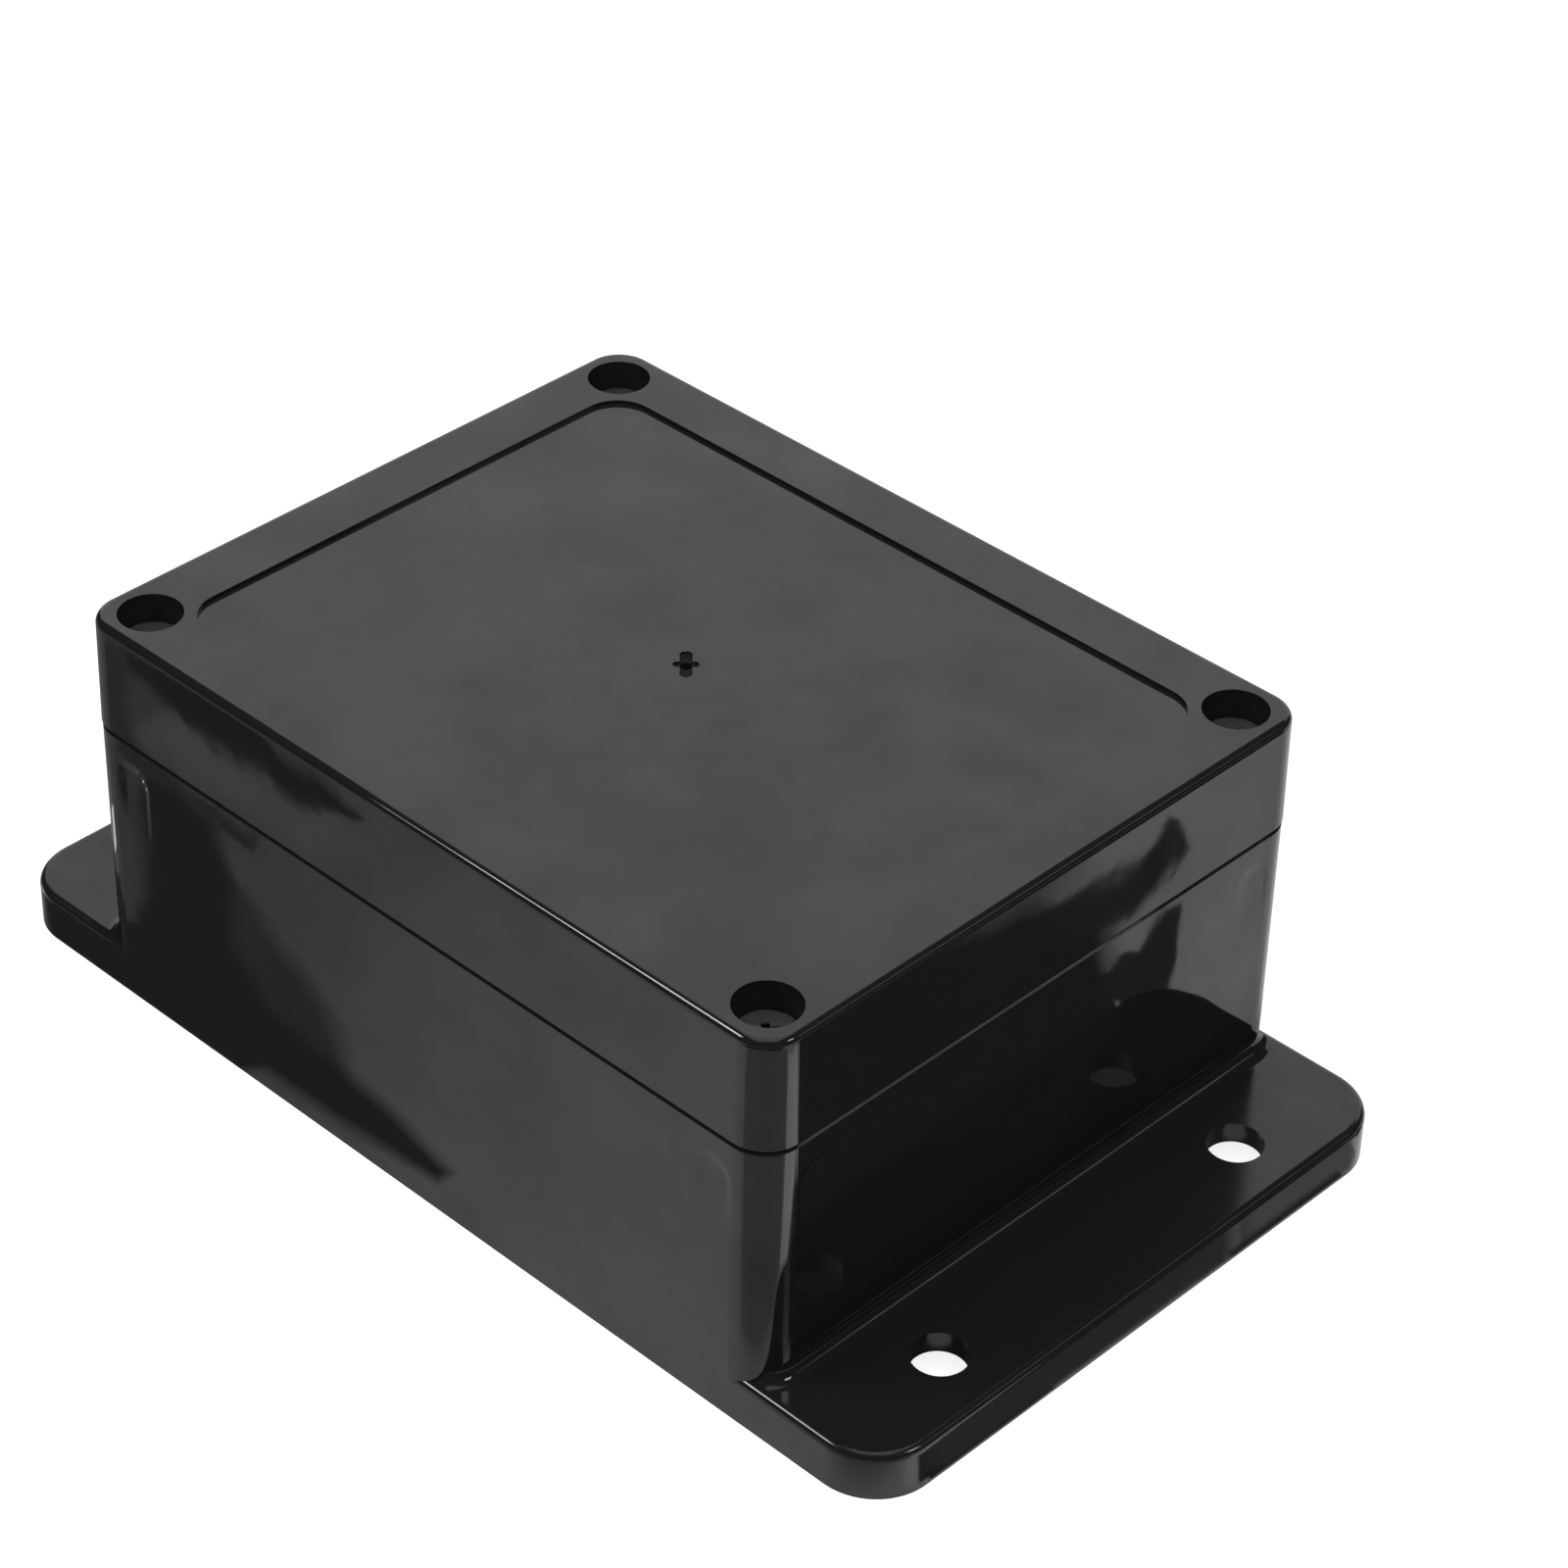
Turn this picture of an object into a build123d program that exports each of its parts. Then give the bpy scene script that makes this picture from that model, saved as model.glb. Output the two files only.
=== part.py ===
"""Screw-lid junction box with a mounting ear at each end, in millimetres.

The long side runs along X, the ears are at its two ends, and +Z is up.
The origin is at the middle of the underside.
"""

import os
from math import radians, tan

from build123d import *

os.makedirs("parts", exist_ok=True)

# Case
case_length = 115.0
case_width = 90.0
case_height = 55.0
lid_height = 15.2
corner_radius = 5.0
wall = 2.5
floor_thickness = 2.5
seam_step = 0.1
seam_chamfer = 0.2
base_draft = 0.1
inside_draft = 0.5

# Mounting ears
ear_reach = 18.0
ear_thickness = 6.4
ear_corner_radius = 8.0
ear_edge_fillet = 1.0
ear_root_fillet = 2.0
ear_skin = 2.8
ear_skirt = 2.4
mount_hole_radius = 3.5
mount_end_inset = 8.6
mount_spacing_y = 51.7

# Corner posts, and the joint between base and lid
screw_inset = 6.25
post_radius = 4.6
tongue_width = 1.2
tongue_height = 1.6
groove_clearance = 0.15
rib_clearance = 0.25
rib_wall = 1.3
rib_drop = 1.1
seal_height = 1.8
seal_side_clearance = 0.05

# Lid
lid_draft = 0.75
lid_thickness = 2.8
lid_edge_fillet = 1.0
panel_inset = 8.7
panel_depth = 0.55
panel_corner_radius = 5.0
gate_angle = 45.0
gate_long_reach = 1.9
gate_long_radius = 0.8
gate_short_reach = 1.0
gate_short_radius = 0.6
gate_depth = 0.3
gate_core_radius = 0.75
gate_core_depth = 0.9

# Lid screws and their wells
head_well_radius = 4.0
head_well_depth = 6.0
screw_hole_radius = 2.0
screw_radius = 1.75
screw_length = 20.0
thread_clearance = 0.05
pilot_depth = 14.0
head_radius = 3.8
head_height = 2.4
recess_reach = 1.8
recess_arm_width = 1.0
recess_depth = 1.4

# Board standoffs on the floor
standoff_inset = 13.0
standoff_radius = 3.5
standoff_height = 5.0
standoff_pilot_radius = 1.25
standoff_pilot_depth = 4.0

# Levels and outlines worked out from the sizes above
overall_length = case_length + 2 * ear_reach
mount_spacing_x = overall_length - 2 * mount_end_inset
screw_spacing_x = case_length - 2 * screw_inset
screw_spacing_y = case_width - 2 * screw_inset
panel_length = case_length - 2 * panel_inset
panel_width = case_width - 2 * panel_inset
base_height = case_height - lid_height
rim_length = case_length - 2 * seam_step
rim_width = case_width - 2 * seam_step
foot_flare = base_height * tan(radians(base_draft))
foot_length = rim_length + 2 * foot_flare
foot_width = rim_width + 2 * foot_flare
bay_length = rim_length - 2 * wall
bay_width = rim_width - 2 * wall
standoff_spacing_x = bay_length - 2 * standoff_inset
standoff_spacing_y = bay_width - 2 * standoff_inset
pocket_height = lid_height - lid_thickness
pocket_inset = rib_clearance + rib_wall
groove_depth = tongue_height + seal_height
screw_seat = case_height - head_well_depth
margin = 0.01  # for picking edges by height, and for edges too short to fillet


def bay_plan(grow=0.0):
    """The open space inside the rim, less its four corner posts, grown by an even margin."""
    post = post_radius - grow
    block = min(bay_length - screw_spacing_x, bay_width - screw_spacing_y) / 2 + post_radius
    nose = min(post, block - margin)
    with BuildSketch() as plan:
        Rectangle(screw_spacing_x - 2 * post, bay_width + 2 * grow)
        Rectangle(bay_length + 2 * grow, screw_spacing_y - 2 * post)
        fillet(plan.vertices().sort_by_distance((0, 0, 0))[:4], nose)
    return plan.sketch


def facing_down(level):
    """A plane at the given height, from which extrusions run downwards."""
    return Plane(origin=(0, 0, level), x_dir=(1, 0, 0), z_dir=(0, 0, -1))


# The joint's outlines, from the seal groove's outer wall inwards
groove_outline = bay_plan(tongue_width + groove_clearance)
seal_outline = bay_plan(tongue_width + groove_clearance - seal_side_clearance)
tongue_outline = bay_plan(tongue_width)
bay_outline = bay_plan()
seal_inner_outline = bay_plan(seal_side_clearance - rib_clearance)
rib_outline = bay_plan(-rib_clearance)
pocket_outline = bay_plan(-pocket_inset)
pocket_top_outline = bay_plan(-pocket_inset - pocket_height * tan(radians(inside_draft)))

# The fillet at the foot of the short walls, made on a broad plate and trimmed to the ears' flat top
with BuildPart() as wall_root:
    with BuildSketch(Plane.XY):
        Rectangle(2 * overall_length, 2 * overall_length)
    extrude(amount=ear_thickness)
    with BuildSketch(facing_down(base_height)):
        RectangleRounded(rim_length, rim_width, corner_radius)
    extrude(amount=base_height, taper=-base_draft)
    root_edges = wall_root.edges().filter_by_position(
        Axis.Z, ear_thickness - margin, ear_thickness + margin
    )
    root_edges = root_edges.filter_by(lambda edge: edge.center().length < overall_length)
    fillet(root_edges, ear_root_fillet)
    with BuildSketch(Plane.XY.offset(ear_thickness)):
        RectangleRounded(
            overall_length - 2 * ear_edge_fillet,
            foot_width - 2 * ear_edge_fillet,
            ear_corner_radius - ear_edge_fillet,
        )
    extrude(amount=ear_root_fillet, taper=45, mode=Mode.INTERSECT)

# Enclosure base: ears first, so that the box covers the inner part of their edge fillet
with BuildPart() as enclosure_base:
    with BuildSketch(Plane.XY):
        RectangleRounded(overall_length, foot_width, ear_corner_radius)
    extrude(amount=ear_thickness, taper=base_draft)
    fillet(enclosure_base.faces().sort_by(Axis.Z)[-1].edges(), ear_edge_fillet)
    with BuildSketch(facing_down(base_height)):
        RectangleRounded(rim_length, rim_width, corner_radius)
    extrude(amount=base_height, taper=-base_draft)
    chamfer(enclosure_base.faces().sort_by(Axis.Z)[-1].edges(), seam_chamfer)
    add(wall_root.part)

    # Space inside, with the four corner posts left standing
    with BuildSketch(facing_down(base_height)):
        add(bay_outline)
    extrude(amount=base_height - floor_thickness, taper=inside_draft, mode=Mode.SUBTRACT)

    # Tongue that presses on the seal
    with BuildSketch(Plane.XY.offset(base_height)):
        add(tongue_outline)
        add(bay_outline, mode=Mode.SUBTRACT)
    extrude(amount=tongue_height)

    # Pilot holes for the lid screws
    with BuildSketch(facing_down(base_height)):
        with GridLocations(screw_spacing_x, screw_spacing_y, 2, 2):
            Circle(screw_radius + thread_clearance)
    extrude(amount=pilot_depth, mode=Mode.SUBTRACT)

    # Board standoffs
    with BuildSketch(Plane.XY.offset(floor_thickness)):
        with GridLocations(standoff_spacing_x, standoff_spacing_y, 2, 2):
            Circle(standoff_radius)
    extrude(amount=standoff_height)
    with BuildSketch(facing_down(floor_thickness + standoff_height)):
        with GridLocations(standoff_spacing_x, standoff_spacing_y, 2, 2):
            Circle(standoff_pilot_radius)
    extrude(amount=standoff_pilot_depth, mode=Mode.SUBTRACT)

    # Hollow underside of the ears, inside a skirt, and the mounting holes
    with BuildSketch(Plane.XY):
        RectangleRounded(
            overall_length - 2 * ear_skirt, foot_width - 2 * ear_skirt, ear_corner_radius - ear_skirt
        )
        Rectangle(foot_length, foot_width, mode=Mode.SUBTRACT)
    extrude(amount=ear_thickness - ear_skin, taper=inside_draft, mode=Mode.SUBTRACT)
    with BuildSketch(Plane.XY):
        with GridLocations(mount_spacing_x, mount_spacing_y, 2, 2):
            Circle(mount_hole_radius)
    extrude(amount=ear_thickness, mode=Mode.SUBTRACT)

# Lid
with BuildPart() as lid:
    with BuildSketch(Plane.XY.offset(base_height)):
        RectangleRounded(case_length, case_width, corner_radius)
    extrude(amount=lid_height, taper=lid_draft)
    fillet(lid.faces().sort_by(Axis.Z)[-1].edges(), lid_edge_fillet)
    chamfer(lid.faces().sort_by(Axis.Z)[0].edges(), seam_chamfer)

    # Space inside, and the rib that drops into the base
    with BuildSketch(Plane.XY.offset(base_height)):
        add(pocket_outline)
    with BuildSketch(Plane.XY.offset(base_height + pocket_height)):
        add(pocket_top_outline)
    loft(ruled=True, mode=Mode.SUBTRACT)
    with BuildSketch(facing_down(base_height)):
        add(rib_outline)
        add(pocket_outline, mode=Mode.SUBTRACT)
    extrude(amount=rib_drop)

    # Groove for the seal and the base's tongue
    with BuildSketch(Plane.XY.offset(base_height)):
        add(groove_outline)
        add(rib_outline, mode=Mode.SUBTRACT)
    extrude(amount=groove_depth, mode=Mode.SUBTRACT)

    # Sunk panel, with the four-lobed mark of the moulding gate at its middle
    with BuildSketch(facing_down(case_height)):
        RectangleRounded(panel_length, panel_width, panel_corner_radius)
    extrude(amount=panel_depth, mode=Mode.SUBTRACT)
    with BuildSketch(facing_down(case_height - panel_depth)):
        with PolarLocations(gate_long_reach, 2, gate_angle):
            Circle(gate_long_radius)
        with PolarLocations(gate_short_reach, 2, gate_angle + 90):
            Circle(gate_short_radius)
        Rectangle(2 * gate_long_reach, 2 * gate_core_radius, rotation=gate_angle)
    extrude(amount=gate_depth, mode=Mode.SUBTRACT)
    with BuildSketch(facing_down(case_height - panel_depth - gate_depth)):
        Circle(gate_core_radius)
    extrude(amount=gate_core_depth, mode=Mode.SUBTRACT)

    # Wells for the screw heads, and the screw holes below them
    with BuildSketch(facing_down(case_height)):
        with GridLocations(screw_spacing_x, screw_spacing_y, 2, 2):
            Circle(head_well_radius)
    extrude(amount=head_well_depth, mode=Mode.SUBTRACT)
    with BuildSketch(facing_down(screw_seat)):
        with GridLocations(screw_spacing_x, screw_spacing_y, 2, 2):
            Circle(screw_hole_radius)
    extrude(amount=screw_seat - base_height, mode=Mode.SUBTRACT)

# Seal, a rubber ring that fills the top of the lid's groove
with BuildPart() as lid_seal:
    with BuildSketch(Plane.XY.offset(base_height + tongue_height)):
        add(seal_outline)
        add(seal_inner_outline, mode=Mode.SUBTRACT)
    extrude(amount=seal_height)

# One lid screw on the Z axis, with its head's underside at the well's floor
with BuildPart() as lid_screw:
    with BuildSketch(Plane.XY.offset(screw_seat)):
        Circle(head_radius)
    extrude(amount=head_height)
    with BuildSketch(facing_down(screw_seat)):
        Circle(screw_radius)
    extrude(amount=screw_length)
    with BuildSketch(facing_down(screw_seat + head_height)):
        Rectangle(2 * recess_reach, recess_arm_width)
        Rectangle(recess_arm_width, 2 * recess_reach)
    extrude(amount=recess_depth, mode=Mode.SUBTRACT)

for name, piece in (("enclosure_base", enclosure_base), ("lid", lid), ("lid_seal", lid_seal)):
    piece.part.label = name
    export_step(piece.part, f"parts/{name}.step")

for place in GridLocations(screw_spacing_x, screw_spacing_y, 2, 2).locations:
    end = "right" if place.position.X > 0 else "left"
    side = "back" if place.position.Y > 0 else "front"
    screw = lid_screw.part.moved(place)
    screw.label = f"lid_screw_{side}_{end}"
    export_step(screw, f"parts/{screw.label}.step")
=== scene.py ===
from math import cos, pi, radians, sin, sqrt

import bmesh
import bpy
from mathutils import Matrix, Vector


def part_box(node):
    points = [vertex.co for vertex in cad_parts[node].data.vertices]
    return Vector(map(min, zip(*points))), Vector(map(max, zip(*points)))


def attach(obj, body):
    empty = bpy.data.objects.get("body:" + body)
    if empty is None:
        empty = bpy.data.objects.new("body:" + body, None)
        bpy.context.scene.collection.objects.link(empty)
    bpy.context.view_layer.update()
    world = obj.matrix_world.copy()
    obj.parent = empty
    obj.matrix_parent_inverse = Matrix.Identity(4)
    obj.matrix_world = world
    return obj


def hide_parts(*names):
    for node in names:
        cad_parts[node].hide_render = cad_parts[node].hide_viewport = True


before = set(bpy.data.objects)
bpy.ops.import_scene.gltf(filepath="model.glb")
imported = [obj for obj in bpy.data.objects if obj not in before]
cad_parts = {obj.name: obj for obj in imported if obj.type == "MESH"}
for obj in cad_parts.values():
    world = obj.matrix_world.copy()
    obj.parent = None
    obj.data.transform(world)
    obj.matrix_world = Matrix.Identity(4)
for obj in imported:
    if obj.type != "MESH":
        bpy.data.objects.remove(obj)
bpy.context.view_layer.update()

BODY = "root"
MM = 0.001

# Sizes read from the frame
base_low, base_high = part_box("enclosure_base")
lid_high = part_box("lid")[1]
wall_x, wall_y = lid_high.x, lid_high.y
screw_low, screw_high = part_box("lid_screw_back_right")
screw_axis = (screw_low + screw_high) / 2
head_radius = (screw_high.x - screw_low.x) / 2
screw_length = screw_high.z - screw_low.z

# Within WELD two points are one, within CUT a point lies on a cutting plane, within SAME two places are the same,
# and a HAIR above or below a height is surely past it
WELD = 0.001 * MM
CUT = 1e-7
SAME = 1e-6
HAIR = 0.01 * MM

# A face is upright where its normal rises less than UPRIGHT, level where it rises more than LEVEL, and looks along
# an axis where it goes more than FACING along it. LEAST_FLAT is the least flat part of a normal that is turned
UPRIGHT = 0.1
LEVEL = 0.9
FACING = 0.6
LEAST_FLAT = 0.05

# Sink marks on the base's outer walls, in front of the corner posts. They fade out downwards over MARK_FADE
MARK_CENTRE_IN = 8.2 * MM
MARK_HALF_WIDTH = 3.3 * MM
MARK_TOP = 36.6 * MM
MARK_BOTTOM = 8.5 * MM
MARK_ROUND = 2.8 * MM
MARK_BLEND = 1.5 * MM
MARK_FADE = (26 * MM, 35 * MM)

# Each mark's depth, and the width of its slope towards the case's corner and towards the middle of the wall
LONG_LEFT_MARK = (0.10 * MM, 2.7 * MM, 0.6 * MM)
LONG_RIGHT_MARK = (0.12 * MM, 1.2 * MM, 2.7 * MM)
SHORT_MARK = (0.10 * MM, 1.1 * MM, 2.7 * MM)

# The grid that a mark is sunk into, how far it reaches past the mark, and the step over which a slope is measured
MARK_ROWS = 36
MARK_COLUMNS = 26
MARK_MARGIN_UP = 0.5 * MM
MARK_MARGIN_ACROSS = 0.4 * MM
MARK_STEP = 0.02 * MM

# How far inside the lid's outline the outer walls' faces and points may lie, and how far outside it their faces
WALL_FACES_IN = 1.6 * MM
WALL_POINTS_IN = 1.8 * MM
WALL_FACES_OUT = 0.2 * MM

# The seam between base and lid, how far the outer edges beside it are broken, and where such an edge's faces lie:
# how far from the seam's height, how far in from the outline, and from where on their points are moved
SEAM_HEIGHT = 39.8 * MM
SEAM_BREAK = 0.18 * MM
SEAM_FACES_HEIGHT = 0.25 * MM
SEAM_FACES_IN = 0.4 * MM
SEAM_MOVED_FROM = 0.1 * MM

# Upright round corners: radius, and how far from their axis their outer points lie at least
CORNER_RADIUS = 5.0 * MM
CORNER_OUTSIDE = 4.5 * MM
LID_EDGE_OUTSIDE = 3.2 * MM
EAR_CORNER_RADIUS = 8.0 * MM
EAR_CORNER_OUTSIDE = 6.5 * MM

# Heights between which they are cut finely, the angle between two cuts in degrees, and the deepest coarse facet
CORNER_BOTTOM = 10 * MM
LID_EDGE_BOTTOM = lid_high.z - 1.05 * MM
EAR_HEIGHT = 6.4 * MM
CORNER_TURN = 3
FACET_DEPTH = 0.2 * MM

# Details of the lid's top
WELL_RADIUS = 4.0 * MM
WELL_MARGIN = 0.02 * MM
PANEL_HEIGHT = lid_high.z - 0.55 * MM
GATE_REACH = 3.0 * MM

# Lid screws
HEAD_HEIGHT = 2.4 * MM
HEAD_EDGE = 0.35 * MM
HEAD_DOME = 0.1 * MM
HEAD_RINGS = 4
HEAD_EDGE_RINGS = 6
HEAD_FACETS = 72
RECESS_REACH = 1.8 * MM
RECESS_FOOT = 0.7 * MM
RECESS_ARM = 1.0 * MM
RECESS_DEPTH = 1.4 * MM
RECESS_ABOVE = 0.3 * MM
RECESS_CONE_TOP = 0.99 * MM
RECESS_CONE_FOOT = 0.405 * MM
RECESS_FACETS = 24
THREAD_RADIUS = 1.72 * MM
THREAD_CORE = 1.3 * MM
THREAD_ROOT = 0.97 * THREAD_CORE
THREAD_PITCH = 1.4 * MM
THREAD_HALF_WIDTH = 0.42 * THREAD_PITCH
THREAD_STEPS = 28
THREAD_RUN_OUT = 1.2 * MM
TIP_LENGTH = 2.0 * MM
TIP_RADIUS = 0.3 * MM
SHARP_EDGE = radians(30)
TURN_SEED = 3

# Noise in the surfaces: scale, detail and roughness. NOISE_RANGE is the part of its values that is spread
NOISE_RANGE = (0.3, 0.7)
GLOSS_NOISE = (60, 4, 0.6)
SHINE_NOISE = (70, 4, 0.6)
RUBBER_NOISE = (400, 4, 0.5)
STEEL_NOISE = (1500, 4, 0.5)

# Relief of the surfaces: scale, detail and roughness of its noise, and its height
WAVES = (38, 1.5, 0.4, 0.35 * MM)
RIPPLES = (200, 1, 0.5, 0.012 * MM)
PLASTIC_GRAIN = (900, 2, 0.5, 0.0015 * MM)
TORN_GATE = (2200, 4, 0.7, 0.35 * MM)
RUBBER_GRAIN = (2500, 3, 0.5, 0.02 * MM)
TURNED_GROOVES = (6000, 1, 0.5, 0.01 * MM)
STEEL_GRAIN = (4000, 2, 0.5, 0.004 * MM)

# Case plastic. The ears are rougher, over a rise that starts beside the walls, and the wells and the gate are dull
PLASTIC_COLOUR = (0.012, 0.012, 0.0125, 1)
PLASTIC_IOR = 1.53
PLASTIC_ROUGHNESS = (0.03, 0.06)
PLASTIC_SHINE = (0.43, 0.57)
EAR_ROUGHNESS = 0.12
EAR_ROUGHNESS_RISE = (wall_x + 1 * MM, wall_x + 4 * MM)
DULL_ROUGHNESS = 0.6
DULL_SHINE = 0.1

# Seal rubber
RUBBER_COLOUR = (0.03, 0.03, 0.03, 1)
RUBBER_ROUGHNESS = (0.55, 0.75)

# Screw steel: its tone in the recess, darkened there as painted shade, and on the head, and the depths under the
# head's edge between which it changes
STEEL_TONES_WITH_RECESS_SHADE = (0.03, 0.40)
STEEL_RECESS_SHADE_DEPTHS = (0.35 * MM, 0.05 * MM)
STEEL_METALLIC = 0.9
STEEL_ANISOTROPIC = 0.95
STEEL_ROUGHNESS = (0.16, 0.26)

# Camera
CAMERA_AZIMUTH = radians(44.726)
CAMERA_ELEVATION = radians(36.075)
CAMERA_ROLL = radians(0.719)
CAMERA_AIM = Vector((-0.038015, 0.038995, 0.0))
CAMERA_DISTANCE = 0.60487
CAMERA_LENS = 103.523
CAMERA_SHIFT = (0.0609, -0.0114)
CAMERA_SENSOR = 36
CAMERA_NEAR = 0.01

# Floor and room, as the eye sees them and as the gloss mirrors them. The mirrored floor is painted light and shade in
# three tones from left to right, darkest at the left, and FLOOR_RISES says between which places each passes into the
# next, the first along a slanting line
FLOOR_SIZE = 6
FLOOR_TONE = 0.45
FLOOR_SEEN = 0.85
FLOOR_PAINTED_REFLECTION = (0.27, 0.68, 0.85)
FLOOR_RISES = ((-0.06, 0.045), (0.045, 0.075))
FLOOR_SLANT = 0.8
ROOM_MIRRORED = 0.02
ROOM_LIGHT = 0.10

# Soft boxes round a point over the floor: name, azimuth from +X and elevation in degrees, distance, width, height,
# brightness, mirrored or not
LAMP_CENTRE = Vector((0, 0, 0.03))
SOFT_BOXES = (
    ("back_panel", 127, 22, 1.3, 2.0, 1.05, 0.92, True),
    ("left_lamp", 229, 46, 0.9, 0.24, 0.20, 12.0, True),
    ("right_panel", 42, 31.5, 0.92, 0.20, 0.12, 0.8, True),
    ("right_lamp", 19, 44, 0.9, 0.18, 0.14, 9.0, True),
    ("overhead_fill", 315, 62, 0.9, 0.8, 0.8, 2.6, False),
)

# The ceiling panel: where it starts and ends along the camera's line, its height, width and brightness
CEILING_FROM = Vector((-0.65, 0.65))
CEILING_TO = Vector((0.22, -0.22))
CEILING_HEIGHT = 0.93
CEILING_WIDTH = 0.54
CEILING_BRIGHTNESS = 0.87

# Cards on the floor that only the gloss mirrors. They are painted reflections that glow though they are no lamps. The
# lowest one's height, and the step from one to the next
CARD_HEIGHT = 0.1 * MM
CARD_STEP = 0.02 * MM

# Each card's name, brightness, soft edge and corners, in millimetres. A dark card is painted shade on the floor, and
# a bright one is painted light or a painted highlight
CARDS = (
    ("back_glow", 0.95, 8, (
        (-95, 35), (-70, 60), (60, 60), (70, 100), (400, 900), (-900, 900), (-900, 40),
    )),
    ("left_grey", 0.24, 3, (
        (-93, -75), (-85, -75), (-79, -69), (-74, -65), (-66, -59), (-63, -54), (-72, -54), (-84, -62),
    )),
    ("left_fade", 0.14, 3, (
        (-62, -69), (-54, -66), (-47, -63), (-40, -61), (-31, -57.5), (-26, -55), (-22, -53), (-30, -52),
        (-50, -52),
    )),
    ("left_shade", 0.06, 2.5, (
        (-84, -73), (-86, -75), (-75, -76), (-70, -73), (-63, -69), (-57, -64), (-51, -59), (-38, -54),
        (-24, -52.5), (-11, -51.4), (0, -49.5), (0, -49), (-14, -48.4), (-30, -48), (-32, -45.3),
        (-76, -45.3), (-75, -52), (-65, -52), (-62, -54), (-66, -59), (-74, -65), (-79, -69),
    )),
    ("left_top_shade", 0.12, 1, (
        (-93, -75.3), (-76, -75.9), (-64, -75.3), (-66, -76.7), (-83, -77.7), (-96, -77.7),
    )),
    ("left_glint", 2.2, 1, (
        (-91, -52), (-83, -52), (-82, -45), (-91, -45),
    )),
    ("left_rim", 0.9, 3, (
        (-91, -15), (-85, -20), (-77, -26), (-75, -24), (-82, -16), (-88, -11),
    )),
    ("lid_glow", 0.42, 4, (
        (-96, -84), (-60, -84), (-50, -88), (-96, -88),
    )),
    ("lid_shade", 0.05, 1.6, (
        (-114, -94), (-91, -93.8), (-78, -92.3), (-68, -91.2), (-60.5, -90.4), (-68, -90), (-74, -89.6),
        (-84, -89.5), (-94, -89.5), (-100, -90.4), (-104, -91.5), (-109, -91.8),
    )),
    ("lid_edge_shade", 0.14, 2, (
        (-117, -93), (-114, -93), (-102, -85), (-96, -82), (-91, -80), (-100, -80),
    )),
    ("front_shade", 0.37, 5, (
        (46, -140), (46, -103), (50, -80), (55, -60), (72, -50), (80, -45), (86, -43), (118, -37), (150, -37),
        (150, -140),
    )),
    ("corner_strip", 1.45, 1, (
        (82.5, -40.5), (91, -37), (116, -31.5), (124, -30), (114, -3), (104, -4.5), (84, -20), (82.5, -28),
    )),
    ("ear_strip", 1.1, 0.4, (
        (76, -40), (78, -39.6), (80.5, -39.3), (80.5, -36.4), (78, -37.2), (76, -38.6),
    )),
    ("ear_grey", 0.35, 0.8, (
        (76, 18), (79, 22), (79, 42), (76, 41),
    )),
    ("ear_shade", 0.08, 0.4, (
        (76, -37.6), (78, -36.5), (80.5, -35.5), (81, -26), (76, -30),
    )),
    ("front_hole_shade", 0.03, 1, (
        (62, -36), (76, -36), (76, -16), (62, -16),
    )),
    ("back_hole_shade", 0.09, 1, (
        (62, 16), (76, 16), (76, 36), (62, 36),
    )),
    ("front_hole_glow", 0.7, 0.3, (
        (65.5, -28.1), (68.2, -30.8), (72.1, -26.8), (69.4, -24.2),
    )),
    ("back_hole_glow", 0.7, 0.3, (
        (65.5, 23.6), (68.2, 20.9), (72.1, 24.9), (69.4, 27.5),
    )),
    ("front_far_shade", 0.04, 4, (
        (130, -60), (130, -128), (60, -132), (10, -170), (100, -800), (800, -800), (800, -100),
    )),
    ("end_shade", 0.12, 4, (
        (76, -33), (81, -27), (86, -18), (88, 24), (80, 20), (76, 14),
    )),
    ("right_fade", 0.3, 7, (
        (122, 24), (120, 58), (104, 58), (98, 44), (98, 30),
    )),
    ("right_shade", 0.04, 4, (
        (84, -13), (104, 6), (120, 10), (120, 24), (108, 26), (101, 40), (98, 50), (95, 53), (92, 50),
        (87, 45), (84, 43), (84, -5),
    )),
    ("near_shade", 0.04, 0.4, (
        (79.4, -22), (86, -13), (86, 46), (79.4, 41),
    )),
    ("far_shade", 0.04, 3, (
        (116, 16), (150, 16), (700, 400), (700, 640), (250, 240), (125, 115), (116, 100),
    )),
    ("hook_shade", 0.05, 0.8, (
        (98, 48), (98.3, 66.5), (98, 70.5), (98.6, 73.5), (99.3, 76.3), (98.5, 77), (95.8, 74), (94.5, 69.3),
        (93.4, 64.5), (93.2, 48),
    )),
    ("low_shade", 0.06, 0.6, (
        (84, 42), (86.4, 49.4), (85.7, 50.6), (84.5, 51.9), (85.2, 54.5), (86.7, 58.1), (87.6, 60.9),
        (87.6, 63.3), (75.4, 47), (76, 44.3), (80, 42.5),
    )),
)


def add_node(tree, kind, inputs=None, **settings):
    """A node of the given kind, with its settings, its values and its links."""
    node = tree.nodes.new(kind)
    for key, value in settings.items():
        setattr(node, key, value)
    for key, value in (inputs or {}).items():
        if isinstance(value, bpy.types.NodeSocket):
            tree.links.new(value, node.inputs[key])
        else:
            node.inputs[key].default_value = value
    return node


def empty_tree(owner):
    """The node tree of a material or a world, with nothing in it."""
    owner.use_nodes = True
    owner.node_tree.nodes.clear()
    return owner.node_tree


def new_material(name):
    """A new material with a Principled shader joined to its output."""
    material = bpy.data.materials.new(name)
    tree = empty_tree(material)
    output = add_node(tree, "ShaderNodeOutputMaterial")
    shader = add_node(tree, "ShaderNodeBsdfPrincipled")
    tree.links.new(shader.outputs["BSDF"], output.inputs["Surface"])
    return material, tree, shader


def of_numbers(tree, operation, *values):
    """The result of a calculation with numbers."""
    return add_node(tree, "ShaderNodeMath", dict(enumerate(values)), operation=operation).outputs[0]


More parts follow.
